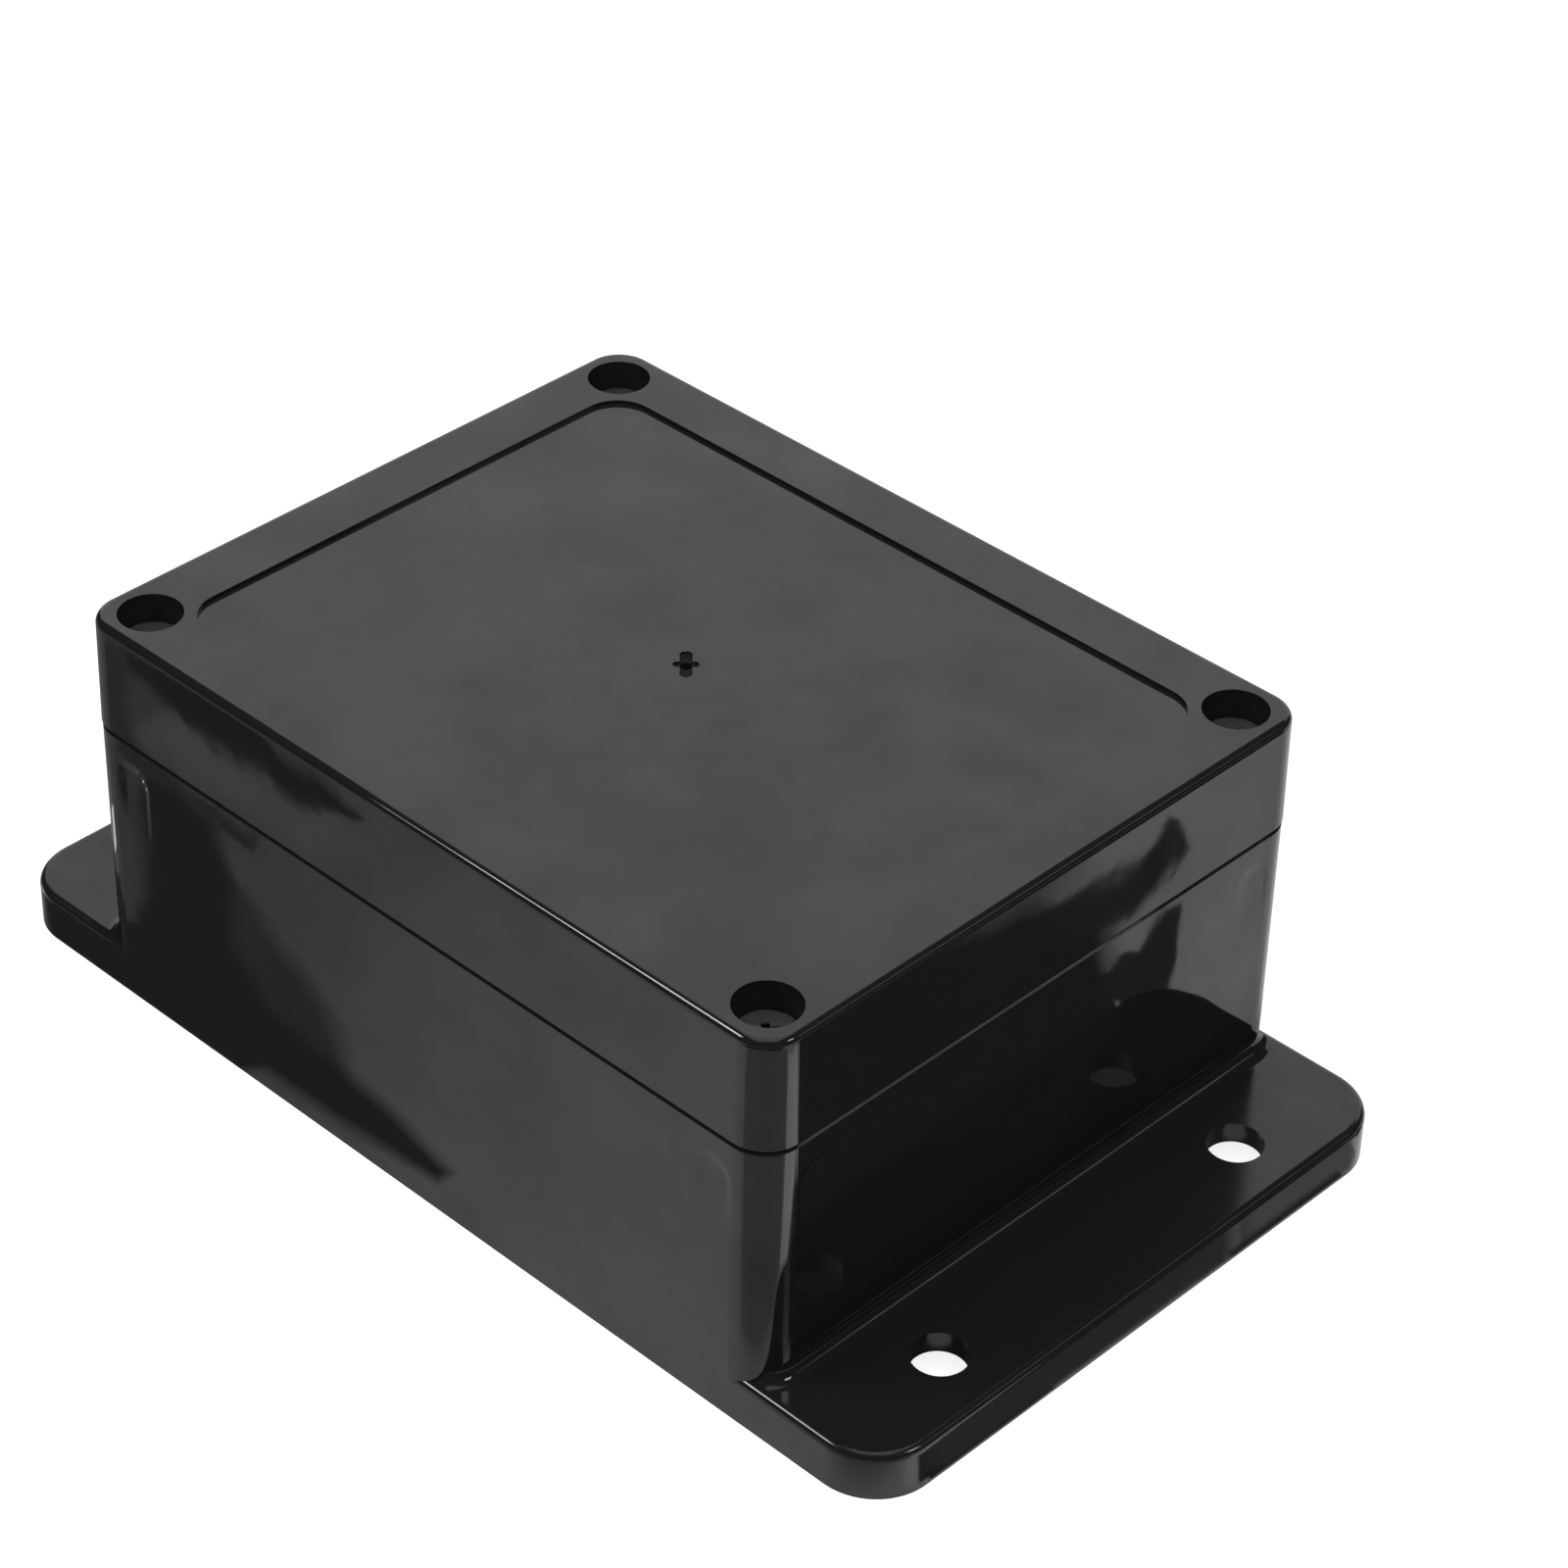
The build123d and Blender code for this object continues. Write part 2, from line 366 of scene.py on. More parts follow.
def of_vectors(tree, operation, *values):
    """The result of a calculation with vectors: a number for a length or a dot product, else a vector."""
    node = add_node(tree, "ShaderNodeVectorMath", dict(enumerate(values)), operation=operation)
    return node.outputs["Value" if operation in ("LENGTH", "DOT_PRODUCT") else "Vector"]


def flat_length(tree, vector):
    """How long a vector is, seen from above."""
    return of_vectors(tree, "LENGTH", of_vectors(tree, "MULTIPLY", vector, (1, 1, 0)))


def along_axis(tree, vector, axis):
    """One of a vector's three values."""
    return add_node(tree, "ShaderNodeSeparateXYZ", {"Vector": vector}).outputs[axis]


def blend(tree, share, value, other):
    """One value where the share is 0, the other where it is 1."""
    return add_node(tree, "ShaderNodeMix", {"Factor": share, "A": value, "B": other}).outputs["Result"]


def noise_at(tree, point, scale, detail, roughness):
    """Noise read at a point."""
    settings = {"Vector": point, "Scale": scale, "Detail": detail, "Roughness": roughness}
    return add_node(tree, "ShaderNodeTexNoise", settings).outputs["Fac"]


def spread(tree, value, low, high, bottom, top):
    """A value between low and high, spread from bottom to top."""
    settings = {"Value": value, "From Min": low, "From Max": high, "To Min": bottom, "To Max": top}
    return add_node(tree, "ShaderNodeMapRange", settings, interpolation_type="SMOOTHSTEP").outputs["Result"]


def mottle(tree, point, noise, bottom, top):
    """Noise spread from bottom to top."""
    return spread(tree, noise_at(tree, point, *noise), *NOISE_RANGE, bottom, top)


def bump(tree, height, distance, normal=None):
    """The surface's normal, turned by a height in metres."""
    settings = {"Height": height, "Distance": distance}
    if normal is not None:
        settings["Normal"] = normal
    return add_node(tree, "ShaderNodeBump", settings).outputs["Normal"]


def relief(tree, point, form, normal=None):
    """The surface's normal, turned by noise."""
    *noise, height = form
    return bump(tree, noise_at(tree, point, *noise), height, normal)


def case_plastic():
    """Polished black moulding: slow waves from uneven shrinking, a faint grain, and a gloss that varies a little."""
    material, tree, shader = new_material("case_plastic")
    shader.inputs["Base Color"].default_value = PLASTIC_COLOUR
    shader.inputs["IOR"].default_value = PLASTIC_IOR
    place = add_node(tree, "ShaderNodeTexCoord").outputs["Object"]
    in_gate = inside_gate(tree, place)
    dull = of_numbers(tree, "MAXIMUM", inside_wells(tree, place), in_gate)
    along = along_axis(tree, of_vectors(tree, "ABSOLUTE", place), "X")
    ears = spread(tree, along, *EAR_ROUGHNESS_RISE, 0, EAR_ROUGHNESS)
    gloss = of_numbers(tree, "ADD", mottle(tree, place, GLOSS_NOISE, *PLASTIC_ROUGHNESS), ears)
    tree.links.new(blend(tree, dull, gloss, DULL_ROUGHNESS), shader.inputs["Roughness"])
    shine = mottle(tree, place, SHINE_NOISE, *PLASTIC_SHINE)
    tree.links.new(blend(tree, dull, shine, DULL_SHINE), shader.inputs["Specular IOR Level"])
    waves = relief(tree, place, WAVES)
    ripples = relief(tree, place, RIPPLES, waves)
    grain = relief(tree, place, PLASTIC_GRAIN, ripples)
    *torn_noise, torn_height = TORN_GATE
    torn = of_numbers(tree, "MULTIPLY", noise_at(tree, place, *torn_noise), in_gate)
    tree.links.new(bump(tree, torn, torn_height, grain), shader.inputs["Normal"])
    return material


def inside_wells(tree, place):
    """1 within the lid's four screw wells, 0 elsewhere."""
    arm = of_vectors(tree, "SUBTRACT", of_vectors(tree, "ABSOLUTE", place), (screw_axis.x, screw_axis.y, 0))
    return of_numbers(tree, "LESS_THAN", flat_length(tree, arm), WELL_RADIUS + WELL_MARGIN)


def inside_gate(tree, place):
    """1 in the torn mark of the moulding gate, in the middle of the lid, 0 elsewhere."""
    near = of_numbers(tree, "LESS_THAN", flat_length(tree, place), GATE_REACH)
    below = of_numbers(tree, "LESS_THAN", along_axis(tree, place, "Z"), PANEL_HEIGHT - HAIR)
    return of_numbers(tree, "MULTIPLY", near, below)


def seal_rubber():
    """Soft black rubber with a fine open grain."""
    material, tree, shader = new_material("seal_rubber")
    shader.inputs["Base Color"].default_value = RUBBER_COLOUR
    place = add_node(tree, "ShaderNodeTexCoord").outputs["Object"]
    tree.links.new(mottle(tree, place, RUBBER_NOISE, *RUBBER_ROUGHNESS), shader.inputs["Roughness"])
    tree.links.new(relief(tree, place, RUBBER_GRAIN), shader.inputs["Normal"])
    return material


def screw_steel():
    """Blackened steel, turned: its gloss runs in circles round each screw's own axis, and its colour is darkened
    below the head's edge as painted shade in the cross recess.
    """
    material, tree, shader = new_material("screw_steel")
    shader.inputs["Metallic"].default_value = STEEL_METALLIC
    shader.inputs["Anisotropic"].default_value = STEEL_ANISOTROPIC
    place = add_node(tree, "ShaderNodeTexCoord").outputs["Object"]
    axis = add_node(tree, "ShaderNodeAttribute", attribute_name="screw_axis").outputs["Vector"]
    arm = of_vectors(tree, "SUBTRACT", place, axis)
    tree.links.new(of_vectors(tree, "CROSS_PRODUCT", (0, 0, 1), arm), shader.inputs["Tangent"])
    # Painted shade: the colour is darkened in the cross recess and below the head's edge
    heights = [screw_high.z - HEAD_DOME - depth for depth in STEEL_RECESS_SHADE_DEPTHS]
    shade = spread(tree, along_axis(tree, place, "Z"), *heights, *STEEL_TONES_WITH_RECESS_SHADE)
    tone = add_node(tree, "ShaderNodeCombineColor", {"Red": shade, "Green": shade, "Blue": shade}).outputs[0]
    tree.links.new(tone, shader.inputs["Base Color"])
    tree.links.new(mottle(tree, place, STEEL_NOISE, *STEEL_ROUGHNESS), shader.inputs["Roughness"])
    turns = add_node(tree, "ShaderNodeCombineXYZ", {"X": of_vectors(tree, "LENGTH", arm)}).outputs[0]
    grooves = relief(tree, turns, TURNED_GROOVES)
    tree.links.new(relief(tree, place, STEEL_GRAIN, grooves), shader.inputs["Normal"])
    return material


def show(name, mesh):
    """A new object of a mesh, in the scene."""
    piece = bpy.data.objects.new(name, mesh)
    bpy.context.scene.collection.objects.link(piece)
    return piece


def finished_copy(node, name, material, shape=None):
    """A copy of a CAD node with its faces joined along their edges and the solid's own normals kept."""
    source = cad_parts[node].data
    form = bmesh.new()
    form.from_mesh(source)
    normal_layer = form.loops.layers.float_vector.new("solid_normal")
    for face, polygon in zip(form.faces, source.polygons):
        face.smooth = True
        for corner, k in zip(face.loops, polygon.loop_indices):
            corner[normal_layer] = source.corner_normals[k].vector
    bmesh.ops.remove_doubles(form, verts=form.verts, dist=WELD)
    if shape:
        shape(form, normal_layer)
    mesh = bpy.data.meshes.new(name)
    form.to_mesh(mesh)
    form.free()
    if "custom_normal" in mesh.attributes:
        mesh.attributes.remove(mesh.attributes["custom_normal"])
    normals = [Vector(item.vector) for item in mesh.attributes["solid_normal"].data]
    mesh.normals_split_custom_set(normals)
    mesh.attributes.remove(mesh.attributes["solid_normal"])
    mesh.materials.clear()
    mesh.materials.append(material)
    piece = show(name, mesh)
    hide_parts(node)
    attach(piece, BODY)
    return piece


def bisect(form, faces, point, direction):
    """Cuts the given faces along a plane."""
    edges = {edge for face in faces for edge in face.edges}
    corners = {corner for face in faces for corner in face.verts}
    bmesh.ops.bisect_plane(form, geom=[*faces, *edges, *corners], plane_co=point, plane_no=direction, dist=CUT)


def step(value, low, high):
    """0 at low, 1 at high, and smooth between."""
    share = min(max((value - low) / (high - low), 0), 1)
    return share * share * (3 - 2 * share)


def long_mark(x):
    """The sink mark of a long wall at this end of the box."""
    return LONG_LEFT_MARK if x < 0 else LONG_RIGHT_MARK


def mark_depth(mark, inset, height):
    """How deep a sink mark is, at a distance from the wall's end and a height. It is deepest at its round top."""
    depth, outer_slope, inner_slope = mark
    across = inset - MARK_CENTRE_IN
    slope = outer_slope + (inner_slope - outer_slope) * step(across, -MARK_BLEND, MARK_BLEND)
    middle = (MARK_TOP + MARK_BOTTOM) / 2
    half_height = (MARK_TOP - MARK_BOTTOM) / 2
    reach = max(abs(across) - MARK_HALF_WIDTH + MARK_ROUND, 0)
    rise = max(abs(height - middle) - half_height + MARK_ROUND, 0)
    outside = sqrt(reach * reach + rise * rise) - MARK_ROUND
    slope += (min(outer_slope, inner_slope) - slope) * step(rise, 0, MARK_ROUND)
    return depth * (1 - step(outside, -slope, 0)) * step(height, *MARK_FADE)


def mark_slope(mark, inset, height):
    """How fast the depth of a sink mark grows, away from the wall's end and upwards."""
    d = MARK_STEP
    inward = (mark_depth(mark, inset + d, height) - mark_depth(mark, inset - d, height)) / (2 * d)
    upward = (mark_depth(mark, inset, height + d) - mark_depth(mark, inset, height - d)) / (2 * d)
    return inward, upward


def outer_walls(form):
    """The faces of the base's four outer walls, with the round corners between them."""
    found = []
    for face in form.faces:
        middle = face.calc_center_median()
        outward = face.normal.x * middle.x > 0 or face.normal.y * middle.y > 0
        beside = max(abs(middle.x) - wall_x, abs(middle.y) - wall_y) > -WALL_FACES_IN
        before_ears = abs(middle.x) < wall_x + WALL_FACES_OUT
        if abs(face.normal.z) < UPRIGHT and beside and before_ears and outward:
            found.append(face)
    return found


def sink_marks(form, normal_layer):
    """Cuts a fine grid into the base's outer walls near its corners, and sinks the marks into it."""
    top = MARK_TOP + MARK_MARGIN_UP
    bottom = MARK_BOTTOM - MARK_MARGIN_UP
    for k in range(MARK_ROWS + 1):
        height = bottom + (top - bottom) * k / MARK_ROWS
        bisect(form, outer_walls(form), (0, 0, height), (0, 0, 1))
    half_width = MARK_HALF_WIDTH + MARK_MARGIN_ACROSS
    for sign in (-1, 1):
        for k in range(MARK_COLUMNS + 1):
            inset = MARK_CENTRE_IN + half_width * (1 - 2 * k / MARK_COLUMNS)
            long_walls = [face for face in outer_walls(form) if abs(face.normal.y) > FACING]
            bisect(form, long_walls, (sign * (wall_x - inset), 0, 0), (1, 0, 0))
            short_walls = [face for face in outer_walls(form) if abs(face.normal.x) > FACING]
            bisect(form, short_walls, (0, sign * (wall_y - inset), 0), (0, 1, 0))

    walls = outer_walls(form)
    for face in walls:
        for corner in face.loops:
            x, y, z = corner.vert.co
            normal = corner[normal_layer].copy()
            inward, upward = mark_slope(long_mark(x), wall_x - abs(x), z)
            normal += abs(normal.y) * Vector((-inward if x > 0 else inward, 0, upward))
            inward, upward = mark_slope(SHORT_MARK, wall_y - abs(y), z)
            normal += abs(normal.x) * Vector((0, -inward if y > 0 else inward, upward))
            corner[normal_layer] = normal.normalized()
    for corner in {corner for face in walls for corner in face.verts}:
        x, y, z = corner.co
        if abs(y) > wall_y - WALL_POINTS_IN:
            depth = mark_depth(long_mark(x), wall_x - abs(x), z)
            corner.co.y -= depth if y > 0 else -depth
        if abs(x) > wall_x - WALL_POINTS_IN:
            depth = mark_depth(SHORT_MARK, wall_y - abs(y), z)
            corner.co.x -= depth if x > 0 else -depth


def beside_outline(x, y):
    """How far a point is from the case's outer outline, negative inside it, and the way straight out of it."""
    out_x = abs(x) - wall_x + CORNER_RADIUS
    out_y = abs(y) - wall_y + CORNER_RADIUS
    if out_x > 0 and out_y > 0:
        reach = sqrt(out_x * out_x + out_y * out_y)
        outward = Vector((out_x / reach, out_y / reach, 0))
    else:
        reach = max(out_x, out_y)
        outward = Vector((1, 0, 0)) if out_x > out_y else Vector((0, 1, 0))
    outward.x *= 1 if x > 0 else -1
    outward.y *= 1 if y > 0 else -1
    return reach - CORNER_RADIUS, outward


def break_seam_edge(form, normal_layer, side):
    """Breaks the outer edge beside the seam: the base's, where side is -1, or the lid's, where it is 1."""
    def on_edge(v):
        near = abs(v.co.z - SEAM_HEIGHT) < SEAM_FACES_HEIGHT
        return near and beside_outline(v.co.x, v.co.y)[0] > -SEAM_FACES_IN

    moved = set()
    for face in form.faces:
        if all(on_edge(v) for v in face.verts) and abs(face.normal.z) < LEVEL:
            for corner in face.loops:
                outward = beside_outline(corner.vert.co.x, corner.vert.co.y)[1]
                corner[normal_layer] = (outward - Vector((0, 0, side))).normalized()
                if side * (corner.vert.co.z - SEAM_HEIGHT) > SEAM_MOVED_FROM:
                    moved.add(corner.vert)
    for corner in moved:
        corner.co.z += side * SEAM_BREAK


def round_corner(form, normal_layer, centre, least, low, high):
    """Cuts the coarse facets of an upright round corner finely, and sets the new points on its true form."""
    axis = Vector((*centre, 0))
    side_x = 1 if axis.x > 0 else -1
    side_y = 1 if axis.y > 0 else -1

    def reach(point):
        out_x, out_y = (point.x - axis.x) * side_x, (point.y - axis.y) * side_y
        return sqrt(out_x * out_x + out_y * out_y) if min(out_x, out_y) > -SAME else 0

    def on_corner(v):
        return low <= v.co.z <= high and reach(v.co) > least(v.co.z)

    rings = {}
    for v in form.verts:
        if on_corner(v):
            height = round(v.co.z, 6)
            rings[height] = max(rings.get(height, 0), reach(v.co))
    heights = sorted(rings)

    def true_reach(z):
        for below, above in zip(heights, heights[1:]):
            if below - SAME <= z <= above + SAME:
                share = (z - below) / (above - below)
                return rings[below] + (rings[above] - rings[below]) * share
        return 0

    for turn in range(CORNER_TURN, 90, CORNER_TURN):
        angle = radians(turn)
        direction = Vector((-sin(angle) * side_x, cos(angle) * side_y, 0))
        bisect(form, [face for face in form.faces if any(on_corner(v) for v in face.verts)], axis, direction)
    for v in form.verts:
        if not on_corner(v):
            continue
        wanted = true_reach(v.co.z)
        if not 0 < wanted - reach(v.co) < FACET_DEPTH:
            continue
        arm = Vector((v.co.x - axis.x, v.co.y - axis.y, 0)).normalized()
        v.co = axis + arm * wanted + Vector((0, 0, v.co.z))
        for corner in v.link_loops:
            normal = corner[normal_layer]
            flat = sqrt(normal.x * normal.x + normal.y * normal.y)
            if flat > LEAST_FLAT:
                corner[normal_layer] = (arm * flat + Vector((0, 0, normal.z))).normalized()


def four_corners(x, y):
    """The four places at a distance from the two middle planes."""
    return [(side_x * x, side_y * y) for side_x in (-1, 1) for side_y in (-1, 1)]


def finish_base(form, normal_layer):
    """The base's broken edge under its seam, its round corners and its sink marks."""
    break_seam_edge(form, normal_layer, -1)
    for centre in four_corners(wall_x - CORNER_RADIUS, wall_y - CORNER_RADIUS):
        round_corner(form, normal_layer, centre, lambda z: CORNER_OUTSIDE, CORNER_BOTTOM, SEAM_HEIGHT + HAIR)
    for centre in four_corners(base_high.x - EAR_CORNER_RADIUS, base_high.y - EAR_CORNER_RADIUS):
        round_corner(form, normal_layer, centre, lambda z: EAR_CORNER_OUTSIDE, 0, EAR_HEIGHT + HAIR)
    sink_marks(form, normal_layer)


def finish_lid(form, normal_layer):
    """The lid's broken edge over its seam, and its round corners."""
    break_seam_edge(form, normal_layer, 1)

    def least(z):
        return CORNER_OUTSIDE if z < LID_EDGE_BOTTOM else LID_EDGE_OUTSIDE

    for centre in four_corners(wall_x - CORNER_RADIUS, wall_y - CORNER_RADIUS):
        round_corner(form, normal_layer, centre, least, SEAM_HEIGHT - HAIR, lid_high.z + HAIR)


def make_case():
    """The two mouldings and the seal between them."""
    plastic = case_plastic()
    finished_copy("enclosure_base", "enclosure_base_moulding", plastic, finish_base)
    finished_copy("lid", "lid_moulding", plastic, finish_lid)
    finished_copy("lid_seal", "lid_seal_strip", seal_rubber())


def turned_form(outline, facets):
    """A form turned about the Z axis from an outline of (radius, height) that starts and ends on the axis."""
    form = bmesh.new()
    first = form.verts.new((0, 0, outline[0][1]))
    last = form.verts.new((0, 0, outline[-1][1]))
    turns = [2 * pi * k / facets for k in range(facets)]
    rings = []
    for radius, height in outline[1:-1]:
        rings.append([form.verts.new((radius * cos(turn), radius * sin(turn), height)) for turn in turns])
    for k in range(facets):
        following = (k + 1) % facets
        form.faces.new((first, rings[0][k], rings[0][following]))
        form.faces.new((last, rings[-1][following], rings[-1][k]))
        for upper, lower in zip(rings, rings[1:]):
            form.faces.new((upper[k], lower[k], lower[following], upper[following]))
    return form


def add_thread(form, top, bottom):
    """Winds a ridge round the shank, from top down to bottom."""
    total = int(THREAD_STEPS * (top - bottom) / THREAD_PITCH)
    sections = []
    for k in range(total + 1):
        angle = -2 * pi * k / THREAD_STEPS
        height = top - THREAD_PITCH * k / THREAD_STEPS
        fade = min(step(k, 0, THREAD_STEPS), step(total - k, 0, THREAD_STEPS))
        crest = THREAD_CORE + (THREAD_RADIUS - THREAD_CORE) * fade
        places = (
            (THREAD_ROOT, height + THREAD_HALF_WIDTH), (crest, height), (THREAD_ROOT, height - THREAD_HALF_WIDTH),
        )
        sections.append([form.verts.new((r * cos(angle), r * sin(angle), z)) for r, z in places])
    for one, two in zip(sections, sections[1:]):
        for i in range(3):
            j = (i + 1) % 3
            form.faces.new((one[i], two[i], two[j], one[j]))
    form.faces.new(sections[0])
    form.faces.new(reversed(sections[-1]))


def recess_tools():
    """What cuts the cross recess: two arms that taper towards their foot, and a cone between them."""
    tools = []
    mouth = RECESS_REACH + (RECESS_REACH - RECESS_FOOT) / RECESS_DEPTH * RECESS_ABOVE
    outline = (
        (-mouth, RECESS_ABOVE), (mouth, RECESS_ABOVE), (RECESS_FOOT, -RECESS_DEPTH), (-RECESS_FOOT, -RECESS_DEPTH),
    )
    for turn in (0, pi / 2):
        form = bmesh.new()
        near, far = [
            [form.verts.new((x, y, z)) for x, z in outline] for y in (-RECESS_ARM / 2, RECESS_ARM / 2)
        ]
        form.faces.new(near)
        form.faces.new(reversed(far))
        for i in range(4):
            j = (i + 1) % 4
            form.faces.new((near[j], near[i], far[i], far[j]))
        form.transform(Matrix.Rotation(turn, 4, "Z"))
        tools.append(form)
    cone = (
        (0, RECESS_ABOVE), (RECESS_CONE_TOP, RECESS_ABOVE), (RECESS_CONE_FOOT, -RECESS_DEPTH), (0, -RECESS_DEPTH),
    )
    tools.append(turned_form(cone, RECESS_FACETS))
    return tools


def evaluated_mesh(piece):
    """A plain mesh of what a piece's modifiers make of it."""
    bpy.context.view_layer.update()
    return bpy.data.meshes.new_from_object(piece.evaluated_get(bpy.context.evaluated_depsgraph_get()))


def screw_form():
    """One cross-recess screw on the Z axis, with the top of its head at the origin."""
    outline = [(0, 0)]
    flat = head_radius - HEAD_EDGE
    for k in range(1, HEAD_RINGS + 1):
        share = k / HEAD_RINGS
        outline.append((flat * share, -HEAD_DOME * share ** 2))
    for k in range(1, HEAD_EDGE_RINGS + 1):
        angle = pi / 2 * k / HEAD_EDGE_RINGS
        outline.append((flat + HEAD_EDGE * sin(angle), -HEAD_DOME - HEAD_EDGE * (1 - cos(angle))))
    outline += [
        (head_radius, -HEAD_HEIGHT), (THREAD_CORE, -HEAD_HEIGHT), (THREAD_CORE, -screw_length + TIP_LENGTH),
        (TIP_RADIUS, -screw_length), (0, -screw_length),
    ]
    form = turned_form(outline, HEAD_FACETS)
    mesh = bpy.data.meshes.new("lid_screw_form")
    form.to_mesh(mesh)
    form.free()
    screw = show("lid_screw_form", mesh)
    cutters = []
    for cut in recess_tools():
        tool_mesh = bpy.data.meshes.new("recess_tool")
        bmesh.ops.recalc_face_normals(cut, faces=cut.faces)
        cut.to_mesh(tool_mesh)
        cut.free()
        cutter = show("recess_tool", tool_mesh)
        modifier = screw.modifiers.new("recess", "BOOLEAN")
        modifier.operation = "DIFFERENCE"
        modifier.solver = "EXACT"
        modifier.object = cutter
        cutters.append(cutter)
    finished = evaluated_mesh(screw)
    screw.modifiers.clear()
    for cutter in cutters:
        bpy.data.objects.remove(cutter)
    form = bmesh.new()
    form.from_mesh(finished)
    add_thread(form, -HEAD_HEIGHT - THREAD_RUN_OUT, -screw_length + TIP_LENGTH)
    bmesh.ops.recalc_face_normals(form, faces=form.faces)
    form.to_mesh(finished)
    form.free()
    for polygon in finished.polygons:
        polygon.use_smooth = True
    finished.set_sharp_from_angle(angle=SHARP_EDGE)
    screw.data = finished
    return screw


def repeat_tree():
    """Geometry nodes that set four copies of a screw in the corners of a rectangle, each turned its own way."""
    tree = bpy.data.node_groups.new("screws_in_corners", "GeometryNodeTree")
    face = tree.interface
    for name, kind in (
        ("Screw", "NodeSocketObject"), ("Length", "NodeSocketFloat"), ("Width", "NodeSocketFloat"),
        ("Height", "NodeSocketFloat"), ("Turn Seed", "NodeSocketInt"), ("Material", "NodeSocketMaterial"),
    ):
        face.new_socket(name, in_out="INPUT", socket_type=kind)
    face.new_socket("Geometry", in_out="OUTPUT", socket_type="NodeSocketGeometry")
    given = add_node(tree, "NodeGroupInput").outputs
    corners = add_node(tree, "GeometryNodeMeshGrid", {
        "Size X": given["Length"], "Size Y": given["Width"], "Vertices X": 2, "Vertices Y": 2,
    }).outputs["Mesh"]
    lift = add_node(tree, "ShaderNodeCombineXYZ", {"Z": given["Height"]}).outputs[0]
    lifted = add_node(tree, "GeometryNodeSetPosition", {"Geometry": corners, "Offset": lift}).outputs[0]
    place = add_node(tree, "GeometryNodeInputPosition").outputs[0]
    marked = add_node(
        tree, "GeometryNodeStoreNamedAttribute", {"Geometry": lifted, "Name": "screw_axis", "Value": place},
        data_type="FLOAT_VECTOR", domain="POINT",
    ).outputs[0]
    turn = add_node(
        tree, "FunctionNodeRandomValue", {"Min": Vector(), "Max": Vector((0, 0, pi / 2)), "Seed": given["Turn Seed"]},
        data_type="FLOAT_VECTOR",
    ).outputs[0]
    screw = add_node(tree, "GeometryNodeObjectInfo", {"Object": given["Screw"]}).outputs["Geometry"]
    copies = add_node(tree, "GeometryNodeInstanceOnPoints", {
        "Points": marked, "Instance": screw, "Rotation": turn,
    }).outputs[0]
    real = add_node(tree, "GeometryNodeRealizeInstances", {"Geometry": copies}).outputs[0]
    painted = add_node(tree, "GeometryNodeSetMaterial", {"Geometry": real, "Material": given["Material"]})
    add_node(tree, "NodeGroupOutput", {"Geometry": painted.outputs[0]})
    return tree


def make_screws():
    """The four lid screws, all in one piece."""
    screw = screw_form()
    tree = repeat_tree()
    holder = show("lid_screws", bpy.data.meshes.new("lid_screws"))
    repeat = holder.modifiers.new("screws_in_corners", "NODES")
    repeat.node_group = tree
    values = {
        "Screw": screw, "Length": 2 * screw_axis.x, "Width": 2 * screw_axis.y, "Height": screw_high.z,
        "Turn Seed": TURN_SEED, "Material": screw_steel(),
    }
    for socket in tree.interface.items_tree:
        if socket.in_out == "INPUT":
            repeat[socket.identifier] = values[socket.name]
    mesh = evaluated_mesh(holder)
    holder.modifiers.clear()
    holder.data = mesh
    bpy.data.objects.remove(screw)
    ends = ("front_left", "front_right", "back_left", "back_right")
    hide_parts(*("lid_screw_" + end for end in ends))
    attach(holder, BODY)


def make_floor():
    """A pale floor: white to the eye with the box's shadow on it, and three greys of painted light and shade to the
    gloss, as a painted reflection.
    """
    bpy.ops.mesh.primitive_plane_add(size=FLOOR_SIZE, location=(0, 0, base_low.z - HAIR))
    floor = bpy.context.object
    floor.name = "floor"
    material = bpy.data.materials.new("floor")
    tree = empty_tree(material)
    paths = add_node(tree, "ShaderNodeLightPath").outputs
    seen = of_numbers(tree, "MULTIPLY", paths["Is Camera Ray"], FLOOR_SEEN)
    matt = add_node(tree, "ShaderNodeBsdfDiffuse", {"Color": (FLOOR_TONE, FLOOR_TONE, FLOOR_TONE, 1)}).outputs[0]
    glow = add_node(tree, "ShaderNodeEmission", {"Strength": seen}).outputs[0]
    lit = add_node(tree, "ShaderNodeAddShader", {0: matt, 1: glow}).outputs[0]
    place = add_node(tree, "ShaderNodeTexCoord").outputs["Object"]
    # Painted reflection: the floor's light and shade as the gloss sees it, darker to the left
    slant = of_vectors(tree, "DOT_PRODUCT", place, (1, -FLOOR_SLANT, 0))
    left, middle, right = FLOOR_PAINTED_REFLECTION
    start, end = (edge - FLOOR_SLANT * base_low.y for edge in FLOOR_RISES[0])
    first = spread(tree, slant, start, end, left, middle)
    second = spread(tree, along_axis(tree, place, "X"), *FLOOR_RISES[1], 0, right)
    level = of_numbers(tree, "MAXIMUM", first, second)
    mirrored = add_node(tree, "ShaderNodeEmission", {"Strength": level}).outputs[0]
    both = add_node(tree, "ShaderNodeMixShader", {0: paths["Is Glossy Ray"], 1: lit, 2: mirrored}).outputs[0]
    add_node(tree, "ShaderNodeOutputMaterial", {"Surface": both})
    floor.data.materials.append(material)


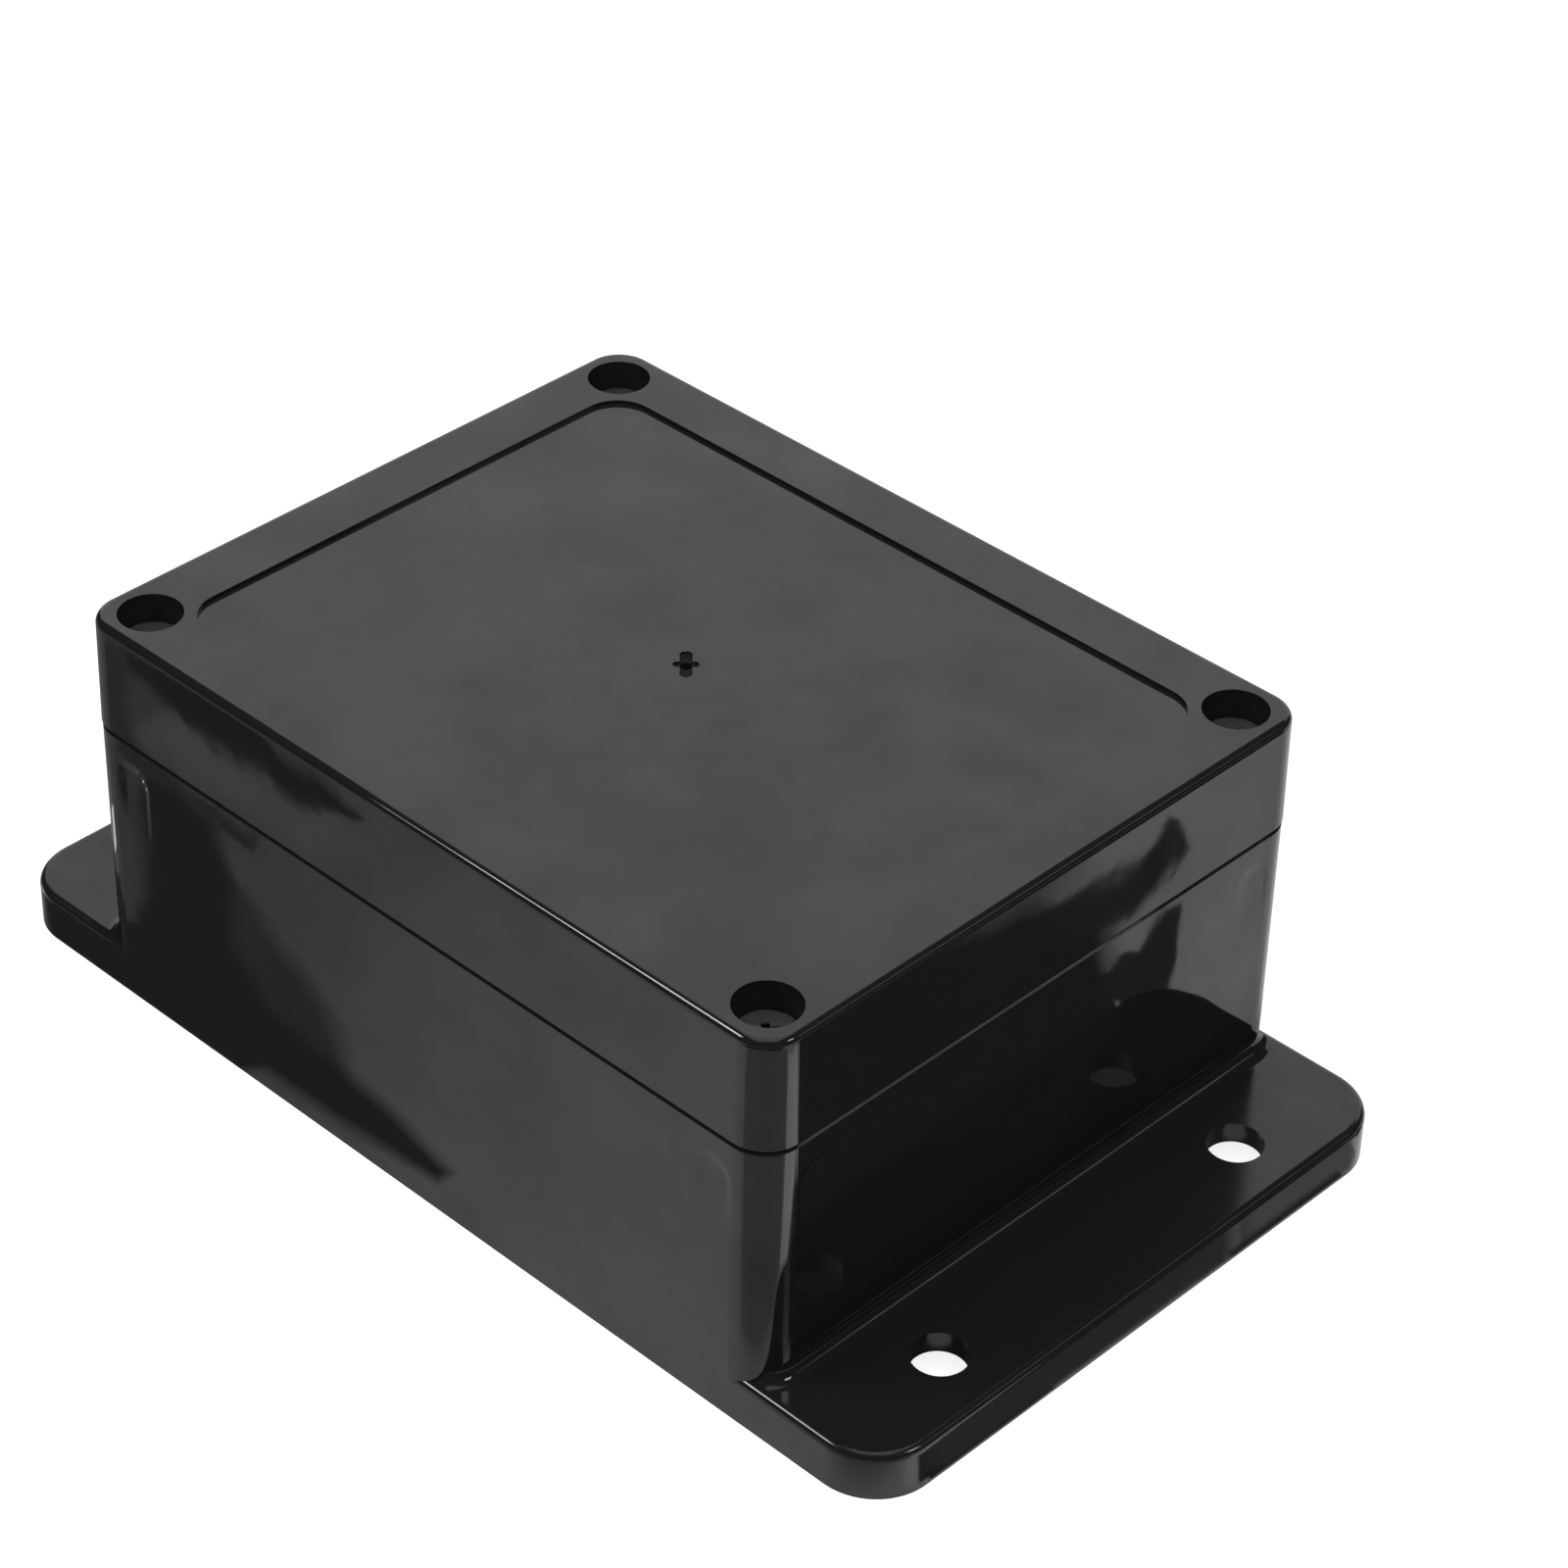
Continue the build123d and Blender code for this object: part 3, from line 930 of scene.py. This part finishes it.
def make_room():
    """The room: white to the eye, dark to the gloss, and a soft even light to all else."""
    world = bpy.data.worlds.new("room")
    bpy.context.scene.world = world
    tree = empty_tree(world)
    paths = add_node(tree, "ShaderNodeLightPath").outputs
    light = add_node(tree, "ShaderNodeBackground", {"Strength": ROOM_LIGHT}).outputs[0]
    dark = add_node(tree, "ShaderNodeBackground", {"Strength": ROOM_MIRRORED}).outputs[0]
    white = add_node(tree, "ShaderNodeBackground", {"Color": (1, 1, 1, 1), "Strength": 1.0}).outputs[0]
    gloss = add_node(tree, "ShaderNodeMixShader", {0: paths["Is Glossy Ray"], 1: light, 2: dark}).outputs[0]
    mix = add_node(tree, "ShaderNodeMixShader", {0: paths["Is Camera Ray"], 1: gloss, 2: white}).outputs[0]
    add_node(tree, "ShaderNodeOutputWorld", {"Surface": mix})


def widened(corners, margin):
    """A polygon's corners, moved outwards by a margin."""
    count = len(corners)
    area = sum(corners[k - 1].cross(corners[k]) for k in range(count))
    side = 1 if area > 0 else -1
    moved = []
    for k in range(count):
        before = (corners[k] - corners[k - 1]).normalized()
        after = (corners[(k + 1) % count] - corners[k]).normalized()
        outward = Vector((before.y + after.y, -before.x - after.x)).normalized() * side
        moved.append(corners[k] + outward * margin)
    return moved


def make_cards():
    """Flat glowing cards that lie on the floor, for the gloss alone: painted reflections, dark ones painted shade and
    bright ones painted light. Each fades out over its soft edge.
    """
    for level, (name, brightness, soft_edge, corners) in enumerate(CARDS):
        height = base_low.z + CARD_HEIGHT + CARD_STEP * level
        core = [Vector(corner) * MM for corner in corners]
        rim = widened(core, soft_edge * MM)
        count = len(core)
        points = [(x, y, height) for x, y in core + rim]
        faces = [range(count)]
        for k in range(count):
            following = (k + 1) % count
            faces.append((k, following, count + following, count + k))
        mesh = bpy.data.meshes.new(name)
        mesh.from_pydata(points, [], faces)
        cover = mesh.attributes.new("cover", "FLOAT", "POINT")
        cover.data.foreach_set("value", [1.0] * count + [0.0] * count)
        card = show(name, mesh)
        material = bpy.data.materials.new(name)
        tree = empty_tree(material)
        share = add_node(tree, "ShaderNodeAttribute", attribute_name="cover").outputs["Fac"]
        clear = add_node(tree, "ShaderNodeBsdfTransparent").outputs[0]
        glow = add_node(tree, "ShaderNodeEmission", {"Strength": brightness}).outputs[0]
        both = add_node(tree, "ShaderNodeMixShader", {0: share, 1: clear, 2: glow}).outputs[0]
        add_node(tree, "ShaderNodeOutputMaterial", {"Surface": both})
        mesh.materials.append(material)
        for ray in ("camera", "diffuse", "shadow", "transmission"):
            setattr(card, "visible_" + ray, False)


def soft_box(name, width, height, brightness, place, towards, mirrored):
    """A rectangle of light at a place, which shines away from the given direction."""
    light = bpy.data.lights.new(name, "AREA")
    light.shape = "RECTANGLE"
    light.size = width
    light.size_y = height
    light.energy = brightness * width * height * pi
    lamp = show(name, light)
    lamp.location = place
    lamp.rotation_mode = "QUATERNION"
    lamp.rotation_quaternion = towards
    lamp.visible_camera = False
    lamp.visible_glossy = mirrored


def make_lamps():
    """The soft boxes round the box, and the ceiling panel over it."""
    for name, azimuth, elevation, distance, width, height, brightness, mirrored in SOFT_BOXES:
        a, e = radians(azimuth), radians(elevation)
        away = Vector((cos(a) * cos(e), sin(a) * cos(e), sin(e)))
        place = LAMP_CENTRE + away * distance
        soft_box(name, width, height, brightness, place, away.to_track_quat("Z", "Y"), mirrored)
    run = CEILING_TO - CEILING_FROM
    middle = (CEILING_FROM + CEILING_TO) / 2
    turn = Matrix.Rotation(run.angle_signed(Vector((1, 0))), 4, "Z").to_quaternion()
    place = (middle.x, middle.y, CEILING_HEIGHT)
    soft_box("ceiling_panel", run.length, CEILING_WIDTH, CEILING_BRIGHTNESS, place, turn, True)


def make_camera():
    """The photograph's viewpoint."""
    a, e = CAMERA_AZIMUTH, CAMERA_ELEVATION
    back = Vector((sin(a) * cos(e), -cos(a) * cos(e), sin(e)))
    right = (-back).cross(Vector((0, 0, 1))).normalized()
    up = right.cross(-back)
    turned_right = cos(CAMERA_ROLL) * right + sin(CAMERA_ROLL) * up
    turned_up = -sin(CAMERA_ROLL) * right + cos(CAMERA_ROLL) * up
    data = bpy.data.cameras.new("camera")
    data.lens = CAMERA_LENS
    data.sensor_width = CAMERA_SENSOR
    data.shift_x, data.shift_y = CAMERA_SHIFT
    data.clip_start = CAMERA_NEAR
    camera = show("camera", data)
    turn = Matrix((turned_right, turned_up, back)).transposed()
    camera.matrix_world = Matrix.Translation(CAMERA_AIM + back * CAMERA_DISTANCE) @ turn.to_4x4()
    bpy.context.scene.camera = camera


make_case()
make_screws()
make_floor()
make_room()
make_cards()
make_lamps()
make_camera()
bpy.context.scene.view_settings.view_transform = "Standard"

bpy.context.view_layer.update()
